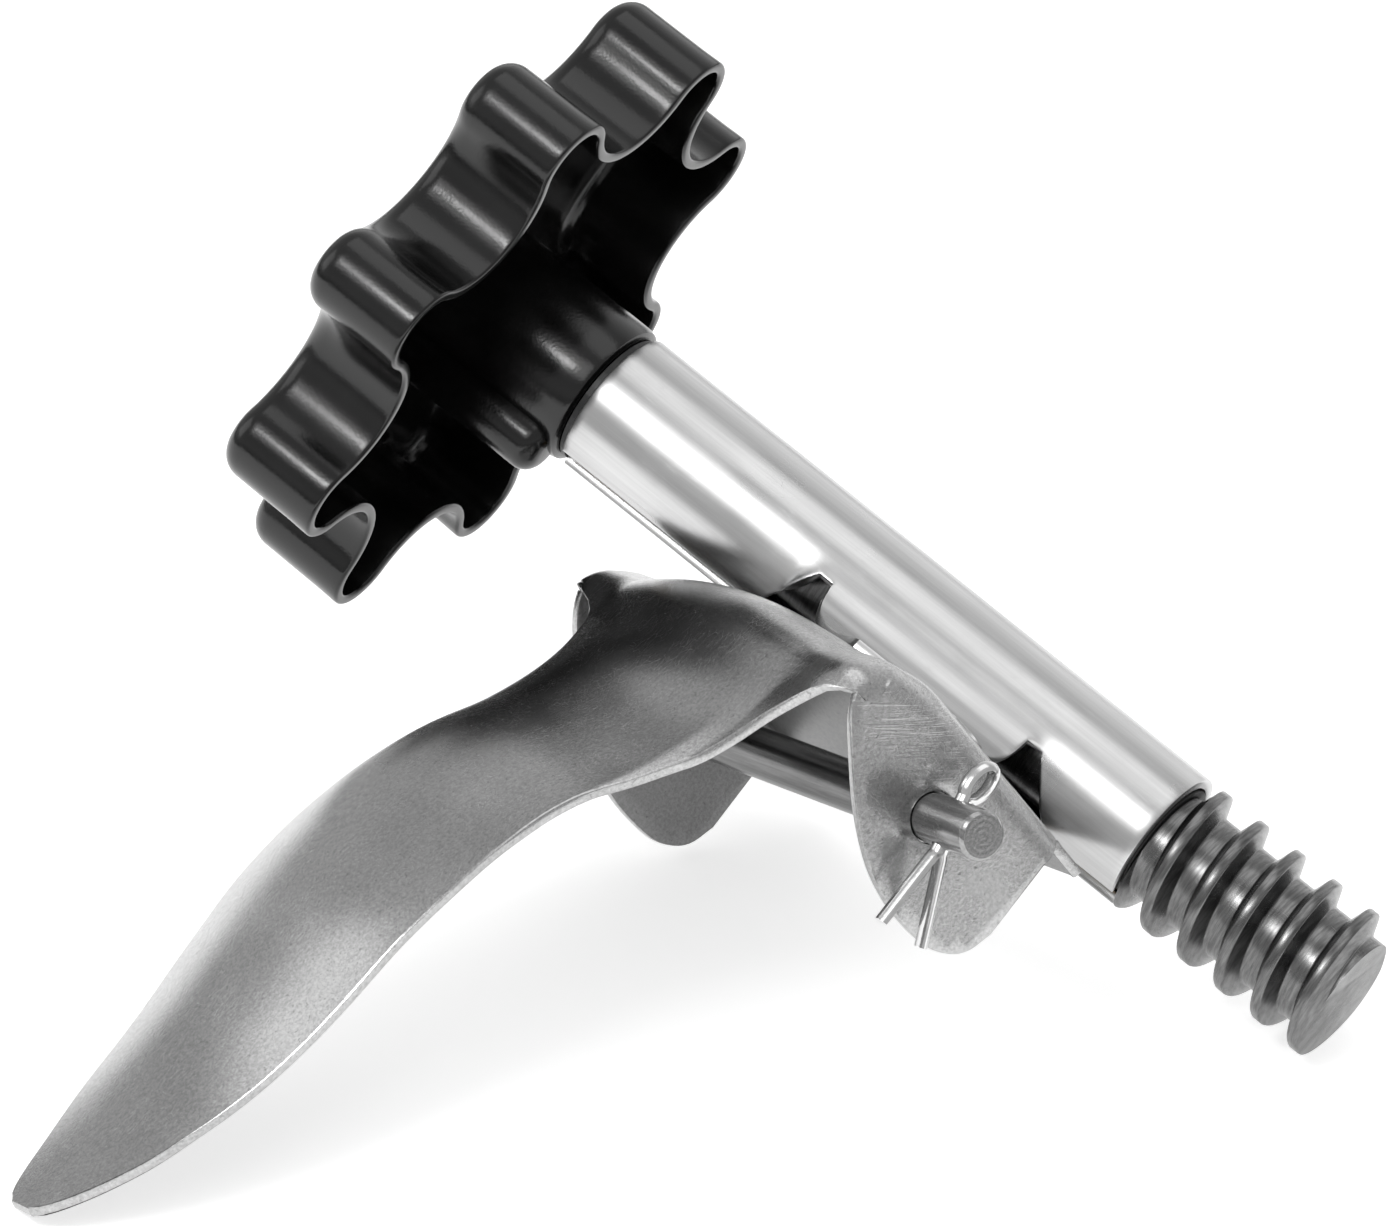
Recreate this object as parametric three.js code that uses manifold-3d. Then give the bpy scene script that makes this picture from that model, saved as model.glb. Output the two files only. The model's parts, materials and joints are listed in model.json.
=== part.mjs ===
// Worm spindle in a rolled tube on a pressed lever bracket that swings on a clevis pin.
// Working axes: X points away from the lever arm, Y runs along the clevis pin, Z points up from the web
// to the tube. The origin of the working axes is the middle of the clevis pin. The finished unit is then
// laid down as it rests on a table.
import * as THREE from 'three';
import { mergeVertices } from 'three/addons/utils/BufferGeometryUtils.js';
import Module from 'manifold-3d';

const wasm = await Module();
wasm.setup();

// Pressed bracket
const SHEET = 1.8;
const EAR_SPAN = 88.2;
const WEB_TOP = 14.2;
const WEB_END_X = 28.5;
const CORNER_R = 5.5;
const SHOULDER_R = 11;
const SHOULDER_X = -20.6;
const SHOULDER_TURN = 1.5;
const ARM_CROWN = 5;
const ARM_HALF_WIDTH = 26;
const EAR_HOLE_R = 4.1;
const EAR_FRONT_X = 21.7;
const WEB_SIDE = 40;
// outer edge of each ear in side view, from the web's free end round to the arm
const EAR_OUTLINE = [
  [WEB_END_X, 18], [WEB_END_X, 11.6], [EAR_FRONT_X, 11.6], [EAR_FRONT_X, -5], [20.6, -9.6], [18, -12.4],
  [14, -14.1], [6, -14.6], [-1, -13.4], [-7, -10.9], [-12.4, -7.7], [-18, -3.6], [-26.2, 3.2],
  [-34, 3.2], [-34, 18],
];
// side view of the arm's crown line: the shoulder ends where this starts
const ARM_LINE = [
  [-31.6, 4], [-32.1, -5], [-33.7, -13.5], [-37.8, -23.6], [-43.1, -34.1], [-46.8, -46],
  [-48.9, -58], [-49.3, -72], [-48, -85], [-46.6, -97], [-45.9, -106], [-45.6, -114],
  [-45.4, -121], [-45.7, -127], [-46.5, -133], [-47.6, -139], [-49, -146],
];
// half width of the arm at each height; the far neck is cut back further than the near one
const NEAR_NECK = [[4.2, 44.4], [2.4, 42], [0.8, 39.6], [-2, 36.8], [-6, 34.3], [-11.9, 32], [-17.9, 30]];
const FAR_NECK = [[4.2, 44.4], [2.6, 38], [1, 33.4], [-2, 29.4], [-7, 26.8], [-12, 25.9], [-17.9, 26]];
const ARM_WIDTHS = [
  [-24, 28], [-32, 26.3], [-40, 25.8],
  [-50, 26.4], [-60, 26.6], [-72, 26], [-81, 25.3], [-90, 24.2], [-98, 22.6], [-106, 20.6], [-113, 18.4],
  [-120, 15.6], [-126, 12.4], [-131.5, 9], [-135.5, 5.8], [-138, 2.4], [-138.6, 0],
];

// Spindle tube: its axis is parallel to the web, at 45 degrees to the clevis pin
const TUBE_ANGLE = -Math.PI / 4;
const TUBE_CROSS_X = 10.1;
const TUBE_Z = 29.5;
const TUBE_R = 12.3;
const TUBE_REAR = -70.8;
const TUBE_FRONT = 43.9;
const SEAM_HALF = 2.5;
const SKIRT_REAR = -22.5;
const SKIRT_FRONT = 20;
const NOTCH_REAR = -23.2;
const NOTCH_FRONT = 22.8;
const NOTCH_DEPTH = 3.9;
const NOTCH_SLANT = 6.4;
const SKIRT_CLEAR = 0.3;
const SKIRT_REACH = 38;
// how a skirt leaves the tube's wall and sweeps down to the web: across the tube and height from its axis
const SKIRT_SWEEP = [
  [12.18, 1], [12.3, -2], [12.8, -4.6], [14.3, -7.6], [17, -9.9], [21.5, -11.7], [27, -12.7],
];
// plan of the web that the skirts may cover, with its slanted rear edge
const SKIRT_AREA = [[27.9, -38.2], [27.9, 38.2], [-5.6, 38.2], [-20.3, -25.8], [-20.3, -38.2]];

// Spindle
const SHAFT_R = 8;
const SHAFT_CLEARANCE = 0.08;
const WORM_ROOT_R = 9.15;
const WORM_CREST_R = 12.4;
const WORM_PITCH = 7.5;
const WORM_CREST_WIDTH = 1.6;
const WORM_BASE_WIDTH = 4.3;
const WORM_START = 44.3;
const WORM_END = 82;
const WORM_PHASE = 2.4;
const BUSH_LENGTH = 14;
const BUSH_GAP = 0.15;
const WASHER_THICK = 0.9;

// Knob
const KNOB_LOBES = 8;
const LOBE_TIP_R = 53.5;
const LOBE_R = 7.5;
const VALLEY_FLOOR_R = 39;
const KNOB_RIM = -88.3;
const KNOB_DEPTH = 19.8;
const KNOB_WALL = 1.7;
const KNOB_WEB = 2.4;
const KNOB_EDGE_R = 4;
const KNOB_TURN = -0.32;
const HUB_R = 12.75;
const HUB_END = -72.1;
const INSERT_R = 9.6;
const SPRING_PIN_R = 2.4;
const SPRING_PIN_AT = -83.1;
const SPRING_PIN_TOP = 10.6;
const SPRING_PIN_FOOT = -14.4;
const SPRING_PIN_WALL = 0.6;
const SPRING_PIN_SLIT = 0.35;
const PIN_BORE_GAP = 0.1;
const RIB_R = 5;
const RIB_AT = -13.2;
const RIB_END = -73.2;

// Clevis pin and cotter
const PIN_R = 4;
const PIN_FREE_END = 14.7;
const PIN_HEAD_R = 6.3;
const PIN_HEAD_THICK = 2.6;
const PIN_CHAMFER = 0.4;
const COTTER_R = 1.5;
const COTTER_GAP = 0.06;
const COTTER_HOLE_GAP = 0.15;
const COTTER_FROM_EAR = 5.5;
const COTTER_TILT = 0.33;
const COTTER_LEFT_LEG = [
  [-3.5, -18.4], [-1.9, -11.8], [-0.45, -6], [-0.1, -4.7], [-COTTER_GAP, 0], [-COTTER_GAP, 4.2],
];
const COTTER_RIGHT_LEG = [
  [4.2, -19], [2.3, -12.2], [0.5, -6], [0.1, -4.7], [COTTER_GAP, 0], [COTTER_GAP, 4.2],
];
const COTTER_EYE_HALF = [1.3, 2.7];
const COTTER_EYE_FOOT = [0.25, 4.9];
const COTTER_EYE_LEAN = 0.32;

// the three points that touch the table: tip of the arm, far ear and end of the worm
const REST_POINTS = [[-45, 5.5, -135.8], [20.6, 44.1, -9.6], [75.8, -50.3, 23.5]];

const EAR_OUT = EAR_SPAN / 2;
const ROUND = 48;

const steel = { color: 0xb9babb, roughness: 0.34, metalness: 1 };
const tubeSteel = { color: 0xc4c5c6, roughness: 0.26, metalness: 1 };
const turnedSteel = { color: 0x6b6b6d, roughness: 0.38, metalness: 1 };
const pinSteel = { color: 0x8f8f91, roughness: 0.32, metalness: 1 };
const wireSteel = { color: 0xc8c8ca, roughness: 0.22, metalness: 1 };
const blackPlastic = { color: 0x141414, roughness: 0.34, metalness: 0 };
const bronze = { color: 0x9a7446, roughness: 0.45, metalness: 1 };
const acetal = { color: 0x1c1c1c, roughness: 0.5, metalness: 0 };

function solid(geometry) {
  const plain = geometry.clone();
  plain.deleteAttribute('uv');
  plain.deleteAttribute('normal');
  const merged = mergeVertices(plain, 1e-4);
  return new wasm.Manifold(new wasm.Mesh({
    numProp: 3,
    vertProperties: Float32Array.from(merged.attributes.position.array),
    triVerts: Uint32Array.from(merged.index.array),
  }));
}

function geometryOf(manifold) {
  const mesh = manifold.getMesh();
  const geometry = new THREE.BufferGeometry();
  geometry.setAttribute('position', new THREE.BufferAttribute(Float32Array.from(mesh.vertProperties), 3));
  geometry.setIndex(new THREE.BufferAttribute(Uint32Array.from(mesh.triVerts), 1));
  return geometry;
}

function piece(name, geometry, look) {
  const shaded = geometry.index ? geometry.toNonIndexed() : geometry;
  shaded.computeVertexNormals();
  const mesh = new THREE.Mesh(shaded, new THREE.MeshStandardMaterial(look));
  mesh.name = name;
  return mesh;
}

function polygon(points) {
  return new THREE.Shape(points.map(([x, y]) => new THREE.Vector2(x, y)));
}

function smooth(points, count) {
  return new THREE.SplineCurve(points.map(([x, y]) => new THREE.Vector2(x, y))).getPoints(count);
}

// A prism whose outline lies in the XZ plane and which runs along Y.
function prismAlongY(points, from, to) {
  const geometry = new THREE.ExtrudeGeometry(polygon(points), { depth: to - from, bevelEnabled: false });
  geometry.rotateX(Math.PI / 2);
  return geometry.translate(0, to, 0);
}

// A prism whose outline lies in the YZ plane and which runs along X.
function prismAlongX(points, from, to) {
  const geometry = new THREE.ExtrudeGeometry(polygon(points), { depth: to - from, bevelEnabled: false });
  geometry.rotateY(Math.PI / 2);
  geometry.rotateX(Math.PI / 2);
  return geometry.translate(from, 0, 0);
}

// A cylinder along an axis of the local frame, from one end to the other.
function rod(radius, from, to, axis, segments = ROUND) {
  const geometry = new THREE.CylinderGeometry(radius, radius, to - from, segments);
  geometry.translate(0, (from + to) / 2, 0);
  if (axis === 'x') geometry.rotateZ(-Math.PI / 2);
  if (axis === 'z') geometry.rotateX(Math.PI / 2);
  return geometry;
}

// A body of revolution about X: the profile lists [along X, radius] and closes on itself or on the axis.
function turned(profile, segments = ROUND) {
  const points = profile.map(([along, radius]) => new THREE.Vector2(radius, along));
  return new THREE.LatheGeometry(points, segments).rotateZ(-Math.PI / 2);
}

function ring(inner, outer, from, to) {
  return turned([[from, inner], [from, outer], [to, outer], [to, inner], [from, inner]]);
}

// Crown line of the bracket in side view, with the outward normal at each point.
function crownLine() {
  const line = [90, WEB_END_X, 8, -4, -10, -16].map((x) => new THREE.Vector2(x, WEB_TOP));
  for (let i = 0; i <= 8; i += 1) {
    const angle = (SHOULDER_TURN * i) / 8;
    const x = SHOULDER_X - SHOULDER_R * Math.sin(angle);
    line.push(new THREE.Vector2(x, WEB_TOP - SHOULDER_R * (1 - Math.cos(angle))));
  }
  line.push(...smooth(ARM_LINE, 28).slice(1));
  return line.map((p, i) => {
    const before = p.clone().sub(line[Math.max(i - 1, 0)]).normalize();
    const after = line[Math.min(i + 1, line.length - 1)].clone().sub(p).normalize();
    const along = before.add(after).normalize();
    return { x: p.x, z: p.y, nx: along.y, nz: -along.x };
  });
}

// How far the skin falls away from the crown line at a distance from the middle plane.
function crownDrop(x, z, y) {
  const { smoothstep } = THREE.MathUtils;
  const grown = 0.55 * smoothstep(-x, 12, 28) + 0.45 * smoothstep(-z, 4, 34)
    - 0.5 * smoothstep(-z, 100, 140);
  return ARM_CROWN * grown * Math.min(Math.abs(y) / ARM_HALF_WIDTH, 1.15) ** 2;
}

// The space under the bracket's skin, inset from the outer surface: flat web, corners and crowned arm.
function skinSolid(inset) {
  const line = crownLine();
  const radius = CORNER_R - inset;
  const limit = EAR_OUT - inset;
  const across = [];
  for (let i = 0; i <= 5; i += 1) {
    const angle = (Math.PI / 2) * (1 - i / 5);
    across.push([-(limit - radius) - radius * Math.sin(angle), radius * (1 - Math.cos(angle))]);
  }
  for (let i = 1; i < 16; i += 1) across.push([(limit - radius) * (i / 8 - 1), 0]);
  [...across].slice(0, 6).reverse().forEach(([y, sink]) => across.push([-y, sink]));
  const rows = line.map((p) => across.map(([y, sink]) => {
    const back = inset + sink + crownDrop(p.x, p.z, y);
    return [p.x - p.nx * back, y, p.z - p.nz * back];
  }));
  const inner = inset === 0 ? [[70, -170], [70, 0]] : [[90, -190], [110, 0]];
  const positions = rows.flat(2);
  const columns = across.length;
  const index = [];
  for (let i = 0; i < rows.length - 1; i += 1) {
    for (let j = 0; j < columns - 1; j += 1) {
      const a = i * columns + j;
      index.push(a, a + 1, a + columns, a + 1, a + columns + 1, a + columns);
    }
  }
  const corners = [];
  inner.forEach(([x, z]) => [0, columns - 1].forEach((j) => {
    corners.push(positions.length / 3);
    positions.push(x, across[j][0], z);
  }));
  const sides = [0, 1].map((side) => rows.map((_, i) => i * columns + side * (columns - 1))
    .concat([corners[side], corners[side + 2]]));
  sides.forEach((loop, side) => {
    const flat = loop.map((k) => new THREE.Vector2(positions[3 * k], positions[3 * k + 2]));
    THREE.ShapeUtils.triangulateShape(flat, []).forEach(([a, b, c]) => {
      const clockwise = THREE.ShapeUtils.isClockWise([flat[a], flat[b], flat[c]]);
      const flip = clockwise === (side === 0);
      index.push(loop[a], flip ? loop[c] : loop[b], flip ? loop[b] : loop[c]);
    });
  });
  const last = (rows.length - 1) * columns;
  for (let j = 0; j < columns - 1; j += 1) {
    index.push(last + j, last + j + 1, corners[0]);
    index.push(j, corners[2], j + 1);
  }
  index.push(last + columns - 1, corners[1], corners[0]);
  index.push(columns - 1, corners[2], corners[3]);
  index.push(corners[0], corners[1], corners[3], corners[0], corners[3], corners[2]);
  const geometry = new THREE.BufferGeometry();
  geometry.setAttribute('position', new THREE.Float32BufferAttribute(positions, 3));
  geometry.setIndex(index);
  return solid(geometry);
}

function leverBracket() {
  const skin = skinSolid(0).subtract(skinSolid(SHEET));
  const ears = solid(prismAlongY(EAR_OUTLINE, -EAR_OUT - 2, EAR_OUT + 2));
  const edge = (neck, side) => smooth([...neck, ...ARM_WIDTHS].map(([z, half]) => [side * half, z]), 46)
    .map((p) => [p.x, p.y]);
  const front = [[44.4, 18], ...edge(FAR_NECK, 1), ...edge(NEAR_NECK, -1).reverse().slice(1), [-44.4, 18]];
  const arm = solid(prismAlongX(front, -70, -8));
  const bores = solid(rod(EAR_HOLE_R, -EAR_OUT - 3, EAR_OUT + 3, 'y'));
  const corner = [[WEB_SIDE, 0], [WEB_SIDE, 20], [EAR_SPAN, 20], [EAR_SPAN, 0]];
  const reliefs = [corner, corner.map(([y, z]) => [-y, z])]
    .map((outline) => solid(prismAlongX(outline, EAR_FRONT_X, WEB_END_X + 2)));
  const body = skin.intersect(ears.add(arm)).subtract(bores).subtract(reliefs[0]).subtract(reliefs[1]);
  return piece('lever_bracket', geometryOf(body), steel);
}

// Tube cross-sections in local axes: X along the tube, Y across it, Z up. Points are [across, height].
function arc(radius, from, to, count) {
  return Array.from({ length: count + 1 }, (_, i) => {
    const angle = from + ((to - from) * i) / count;
    return [radius * Math.sin(angle), radius * Math.cos(angle)];
  });
}

function band(outer, inner) {
  return [...outer, ...[...inner].reverse()];
}

function closedSection() {
  const end = Math.PI - Math.asin(SEAM_HALF / TUBE_R);
  return band(arc(TUBE_R, -end, end, 48), arc(TUBE_R - SHEET, -end, end, 48));
}

// One side of the skirt: it leaves the tube wall, sweeps outwards and lies on the web.
function skirtSection(side) {
  const floor = WEB_TOP + SKIRT_CLEAR - TUBE_Z;
  const curve = smooth([...SKIRT_SWEEP, [34, floor + SHEET], [50, floor + SHEET]], 24);
  const under = curve.map((p, i) => {
    const a = curve[Math.max(i - 1, 0)];
    const b = curve[Math.min(i + 1, curve.length - 1)];
    const length = a.distanceTo(b);
    return [p.x + ((b.y - a.y) / length) * SHEET, Math.max(p.y - ((b.x - a.x) / length) * SHEET, floor)];
  });
  return band(curve.map((p) => [p.x, Math.max(p.y, floor + SHEET)]), under).map(([y, z]) => [side * y, z]);
}

// Plan area of the skirts in the tube's own axes: a strip along the tube, kept on the flat of the web.
function skirtPlan() {
  const depth = 2 * TUBE_Z;
  const web = solid(new THREE.ExtrudeGeometry(polygon(SKIRT_AREA), { depth, bevelEnabled: false }));
  const side = [[SKIRT_REAR, -depth], [SKIRT_FRONT, -depth], [SKIRT_FRONT, depth], [SKIRT_REAR, depth]];
  const strip = solid(prismAlongY(side, -SKIRT_REACH, SKIRT_REACH));
  const degrees = THREE.MathUtils.radToDeg(TUBE_ANGLE);
  return web.translate([-TUBE_CROSS_X, 0, -TUBE_Z]).rotate([0, 0, -degrees]).intersect(strip);
}

function spindleTube() {
  const wall = solid(prismAlongX(closedSection(), TUBE_REAR, TUBE_FRONT));
  const below = -TUBE_R - 1;
  const window = [
    [NOTCH_REAR - NOTCH_SLANT, below], [NOTCH_REAR, -NOTCH_DEPTH],
    [NOTCH_FRONT, -NOTCH_DEPTH], [NOTCH_FRONT + NOTCH_SLANT, below],
  ];
  const cut = wall.subtract(solid(prismAlongY(window, -TUBE_R - 1, 0)));
  const plan = skirtPlan();
  const [near, far] = [-1, 1].map((side) => {
    const skirt = solid(prismAlongX(skirtSection(side), SKIRT_REAR, SKIRT_FRONT));
    return skirt.intersect(plan);
  });
  return piece('spindle_tube', geometryOf(cut.add(near).add(far)), tubeSteel);
}

function bush(name, from, to) {
  return piece(name, ring(SHAFT_R + SHAFT_CLEARANCE, TUBE_R - SHEET - BUSH_GAP, from, to), bronze);
}

function washer(name, from, outer) {
  return piece(name, ring(SHAFT_R + SHAFT_CLEARANCE, outer, from, from + WASHER_THICK), acetal);
}

// A closed body through rows of matching points, with a fan over each end.
function loft(rows) {
  const count = rows[0].length;
  const positions = rows.flat(2);
  const index = [];
  for (let i = 0; i < rows.length - 1; i += 1) {
    for (let j = 0; j < count; j += 1) {
      const a = i * count + j;
      const b = i * count + ((j + 1) % count);
      index.push(a, b, a + count, b, b + count, a + count);
    }
  }
  [0, rows.length - 1].forEach((i) => {
    const middle = positions.length / 3;
    const sum = rows[i].reduce((m, p) => m.map((v, k) => v + p[k] / count), [0, 0, 0]);
    positions.push(...sum);
    for (let j = 0; j < count; j += 1) {
      const a = i * count + j;
      const b = i * count + ((j + 1) % count);
      if (i === 0) index.push(middle, b, a);
      else index.push(middle, a, b);
    }
  });
  const geometry = new THREE.BufferGeometry();
  geometry.setAttribute('position', new THREE.Float32BufferAttribute(positions, 3));
  geometry.setIndex(index);
  return solid(geometry);
}

// One helical ridge of trapezoid section, longer than the worm and cut to length afterwards.
function wormRidge() {
  const steps = 32;
  const sunk = WORM_ROOT_R - 0.6;
  const slope = (WORM_BASE_WIDTH - WORM_CREST_WIDTH) / 2 / (WORM_CREST_R - WORM_ROOT_R);
  const foot = WORM_BASE_WIDTH / 2 + slope * (WORM_ROOT_R - sunk);
  const crest = WORM_CREST_WIDTH / 2;
  const section = [[foot, sunk], [crest, WORM_CREST_R], [-crest, WORM_CREST_R], [-foot, sunk]];
  const count = Math.ceil(((WORM_END - WORM_START) / WORM_PITCH + 2) * steps);
  const rows = Array.from({ length: count + 1 }, (_, i) => {
    const angle = (2 * Math.PI * i) / steps + WORM_PHASE;
    const along = WORM_START - WORM_PITCH + (WORM_PITCH * i) / steps;
    return section.map(([dx, r]) => [along + dx, r * Math.cos(angle), r * Math.sin(angle)]);
  });
  return loft(rows);
}

function wormSpindle() {
  const shaftEnd = KNOB_RIM - KNOB_DEPTH + KNOB_WEB + 1;
  const core = turned([
    [shaftEnd, 0], [shaftEnd, SHAFT_R - 0.8], [shaftEnd + 0.8, SHAFT_R],
    [WORM_START, SHAFT_R], [WORM_START, WORM_ROOT_R], [WORM_END, WORM_ROOT_R], [WORM_END, 0],
  ]);
  const slab = solid(rod(WORM_CREST_R + 1, WORM_START, WORM_END, 'x'));
  const body = solid(core).add(wormRidge().intersect(slab)).subtract(pinBore(-SHAFT_R - 1, SHAFT_R + 1));
  return piece('worm_spindle', geometryOf(body), turnedSteel);
}

// Lobed outline: round lobe tips joined by hollow arcs, drawn at an offset inside the outer face.
function lobedOutline(inset) {
  const arcSteps = 4;
  const step = (2 * Math.PI) / KNOB_LOBES;
  const lobeAt = LOBE_TIP_R - LOBE_R;
  const drop = LOBE_R - VALLEY_FLOOR_R;
  const hollowAt = (lobeAt ** 2 - drop ** 2) / (2 * (lobeAt * Math.cos(step / 2) + drop));
  const hollowR = hollowAt - VALLEY_FLOOR_R + inset;
  const meet = Math.atan2(hollowAt * Math.sin(step / 2), hollowAt * Math.cos(step / 2) - lobeAt);
  const points = [];
  for (let k = 0; k < KNOB_LOBES; k += 1) {
    const turn = k * step + KNOB_TURN;
    const middle = turn + step / 2;
    for (let i = -arcSteps; i <= arcSteps; i += 1) {
      const angle = turn + (meet * i) / arcSteps;
      points.push([lobeAt * Math.cos(turn) + (LOBE_R - inset) * Math.cos(angle),
        lobeAt * Math.sin(turn) + (LOBE_R - inset) * Math.sin(angle)]);
    }
    for (let i = 1; i < 2 * arcSteps; i += 1) {
      const angle = middle + Math.PI + (meet - step / 2) * (1 - i / arcSteps);
      points.push([hollowAt * Math.cos(middle) + hollowR * Math.cos(angle),
        hollowAt * Math.sin(middle) + hollowR * Math.sin(angle)]);
    }
  }
  return points;
}

function lobedBody(levels) {
  return loft(levels.map(([along, inset]) => lobedOutline(inset).map(([y, z]) => [along, y, z])));
}

function roundedLevels(back, front, inset, radius) {
  const levels = [];
  for (let i = 3; i >= 0; i -= 1) {
    const angle = (Math.PI / 2) * (i / 3);
    levels.push([back + radius * (1 - Math.sin(angle)), inset + radius * (1 - Math.cos(angle))]);
  }
  levels.push([front, inset]);
  return levels;
}

// The bore for the spring pin, from one height to another.
function pinBore(from, to) {
  return solid(rod(SPRING_PIN_R + PIN_BORE_GAP, from, to, 'z', 24).translate(SPRING_PIN_AT, 0, 0));
}

function knob() {
  const back = KNOB_RIM - KNOB_DEPTH;
  const floor = back + KNOB_WEB;
  const shell = lobedBody(roundedLevels(back, KNOB_RIM, 0, KNOB_EDGE_R));
  const hollow = lobedBody(roundedLevels(floor, KNOB_RIM + 1, KNOB_WALL, KNOB_EDGE_R - KNOB_WALL));
  const hub = solid(turned([
    [back + 1, 0], [back + 1, HUB_R], [HUB_END - 1.2, HUB_R], [HUB_END - 0.4, HUB_R - 0.4],
    [HUB_END, HUB_R - 1.2], [HUB_END, 0],
  ]));
  const rib = solid(turned([
    [back + 1, 0], [back + 1, RIB_R], [RIB_END - 3, RIB_R], [RIB_END - 1.2, RIB_R - 0.9],
    [RIB_END - 0.3, RIB_R - 2.4], [RIB_END, 0],
  ], 32).translate(0, 0, RIB_AT));
  const bore = solid(rod(INSERT_R + 0.1, floor, HUB_END + 1, 'x'));
  const body = shell.subtract(hollow).add(hub).add(rib).subtract(bore)
    .subtract(pinBore(SPRING_PIN_FOOT - 0.3, HUB_R + 1));
  return piece('knob', geometryOf(body), blackPlastic);
}

function knobInsert() {
  const from = KNOB_RIM - KNOB_DEPTH + KNOB_WEB + 0.4;
  const body = solid(ring(SHAFT_R + SHAFT_CLEARANCE, INSERT_R, from, HUB_END - 0.2))
    .subtract(pinBore(-INSERT_R - 1, INSERT_R + 1));
  return piece('knob_insert', geometryOf(body), pinSteel);
}

// A rolled spring pin: a tube with a lengthwise slit, sunk below the hub's surface and blind in its rib.
function springPin() {
  const [from, to] = [SPRING_PIN_SLIT, 2 * Math.PI - SPRING_PIN_SLIT];
  const section = band(arc(SPRING_PIN_R, from, to, 22), arc(SPRING_PIN_R - SPRING_PIN_WALL, from, to, 22));
  const length = SPRING_PIN_TOP - SPRING_PIN_FOOT;
  const geometry = new THREE.ExtrudeGeometry(polygon(section), { depth: length, bevelEnabled: false });
  return piece('knob_spring_pin', geometry.translate(SPRING_PIN_AT, 0, SPRING_PIN_FOOT), turnedSteel);
}

// Clevis pin, built along the working Y axis with its head at the far ear.
function clevisPin() {
  const free = -EAR_OUT - PIN_FREE_END;
  const head = EAR_OUT + 0.3;
  const top = head + PIN_HEAD_THICK;
  const shank = turned([
    [free, 0], [free, PIN_R - PIN_CHAMFER], [free + PIN_CHAMFER, PIN_R], [head, PIN_R],
    [head, PIN_HEAD_R], [top - 0.6, PIN_HEAD_R], [top, PIN_HEAD_R - 0.6], [top, 0],
  ]).rotateZ(Math.PI / 2);
  const hole = rod(COTTER_R + COTTER_HOLE_GAP, -PIN_R - 1, PIN_R + 1, 'z', 24).rotateY(-COTTER_TILT);
  hole.translate(0, -EAR_OUT - COTTER_FROM_EAR, 0);
  return piece('clevis_pin', geometryOf(solid(shank).subtract(solid(hole))), pinSteel);
}

// Points of the cotter's leaning oval eye, from the left leg over the top to the right leg.
function cotterEye() {
  const [half, tall] = COTTER_EYE_HALF;
  const c = Math.cos(COTTER_EYE_LEAN);
  const s = Math.sin(COTTER_EYE_LEAN);
  return Array.from({ length: 15 }, (_, i) => {
    const angle = Math.PI * (1.4 - (1.8 * i) / 14);
    const u = half * Math.cos(angle);
    const v = tall * (1 + Math.sin(angle));
    return [COTTER_EYE_FOOT[0] + u * c + v * s, COTTER_EYE_FOOT[1] + v * c - u * s];
  });
}

// Two half-round lengths of one wire, flat to flat: up one leg, round the eye and down the other leg.
function cotterPin() {
  const path = [...COTTER_LEFT_LEG, ...cotterEye(), ...[...COTTER_RIGHT_LEG].reverse()];
  const radius = COTTER_R - COTTER_GAP;
  const c = Math.cos(COTTER_TILT);
  const s = Math.sin(COTTER_TILT);
  const y0 = -EAR_OUT - COTTER_FROM_EAR;
  const rows = path.map((p, i) => {
    const a = path[Math.max(i - 1, 0)];
    const b = path[Math.min(i + 1, path.length - 1)];
    const length = Math.hypot(b[0] - a[0], b[1] - a[1]);
    const out = [-(b[1] - a[1]) / length, (b[0] - a[0]) / length];
    return Array.from({ length: 8 }, (_, k) => {
      const angle = Math.PI / 2 - (Math.PI * k) / 7;
      const away = radius * Math.cos(angle);
      const u = p[0] + out[0] * away;
      const v = p[1] + out[1] * away;
      return [u * c - v * s, y0 + radius * Math.sin(angle), v * c + u * s];
    });
  });
  return piece('cotter_pin', geometryOf(loft(rows)), wireSteel);
}

function spindleGroup() {
  const group = new THREE.Group();
  group.name = 'spindle_axis';
  group.position.set(TUBE_CROSS_X, 0, TUBE_Z);
  group.rotation.z = TUBE_ANGLE;
  group.add(
    spindleTube(),
    bush('bush_front', TUBE_FRONT - 1 - BUSH_LENGTH, TUBE_FRONT - 1),
    bush('bush_rear', TUBE_REAR + 0.2, TUBE_REAR + 0.2 + BUSH_LENGTH),
    washer('washer_front', TUBE_FRONT - 0.7, TUBE_R - SHEET - 0.3),
    washer('washer_rear', TUBE_REAR - 0.2 - WASHER_THICK, TUBE_R - 0.9),
    wormSpindle(),
    knob(),
    knobInsert(),
    springPin(),
  );
  return group;
}

// Turns the unit so that its three contact points lie level, with +X along the tube in plan, then sets
// the middle of its footprint on the origin.
function laidDown(unit) {
  const [tip, ear, worm] = REST_POINTS.map((p) => new THREE.Vector3(...p));
  const up = new THREE.Vector3().crossVectors(tip.sub(ear), worm.sub(ear)).normalize();
  const along = new THREE.Vector3(Math.cos(TUBE_ANGLE), Math.sin(TUBE_ANGLE), 0);
  along.addScaledVector(up, -along.dot(up)).normalize();
  const across = new THREE.Vector3().crossVectors(up, along);
  unit.quaternion.setFromRotationMatrix(new THREE.Matrix4().makeBasis(along, across, up).transpose());
  const box = new THREE.Box3().setFromObject(unit, true);
  unit.position.set(-(box.min.x + box.max.x) / 2, -(box.min.y + box.max.y) / 2, -box.min.z);
  return unit;
}

const lever = new THREE.Group();
lever.name = 'lever_unit';
lever.add(leverBracket(), spindleGroup(), clevisPin(), cotterPin());

export default laidDown(lever);
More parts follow.
